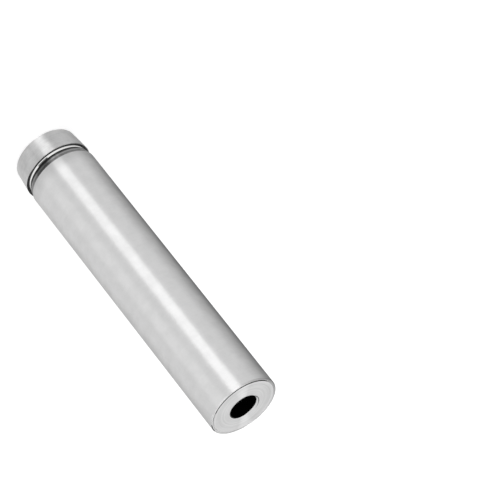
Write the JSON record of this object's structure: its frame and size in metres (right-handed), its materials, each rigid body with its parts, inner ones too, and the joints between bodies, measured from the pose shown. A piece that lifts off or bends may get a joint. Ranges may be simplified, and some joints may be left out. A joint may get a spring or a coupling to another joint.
{
  "type": "glass panel standoff",
  "caption": "Round panel standoff: a tapered screw-on cap clamps a panel on gaskets against a tubular barrel with a central wall screw hole.",
  "frame": {"origin": "centre of the cap's front face, on which the standoff stands", "axes": "+Z along the axis, from the cap's front face to the wall face; X and Y are free, the part is round"},
  "size_m": [0.02, 0.02, 0.1],
  "materials": {
    "satin_steel": "satin stainless steel",
    "turned_steel": "fine turned stainless steel",
    "polished_steel": "polished stainless steel",
    "plain_steel": "rolled thread, bright",
    "black_rubber": "matt black rubber",
    "clear_vinyl": "clear soft vinyl"
  },
  "bodies": {
    "cap_body": {"cap": "satin_steel", "cap_stud": "plain_steel", "cap_gasket": "black_rubber"},
    "gasket_body": {"barrel_gasket": "clear_vinyl"},
    "barrel_body": {"front_plug": "polished_steel", "barrel_tube": "satin_steel", "wall_plug": "turned_steel"}
  },
  "joints": [
    {"name": "barrel_lift", "type": "slide", "parent": "cap_body", "child": "gasket_body", "axis": [0, 0, 1], "range_m": [0, 0.01]},
    {"name": "barrel_turn", "type": "hinge", "parent": "gasket_body", "child": "barrel_body", "pos_m": [0, 0, 0], "axis": [0, 0, 1], "range_deg": [0, 2880]}
  ],
  "couplings": [
    {"joint": "barrel_lift", "follows": "barrel_turn", "m_per_rad": 0.00019894}
  ]
}
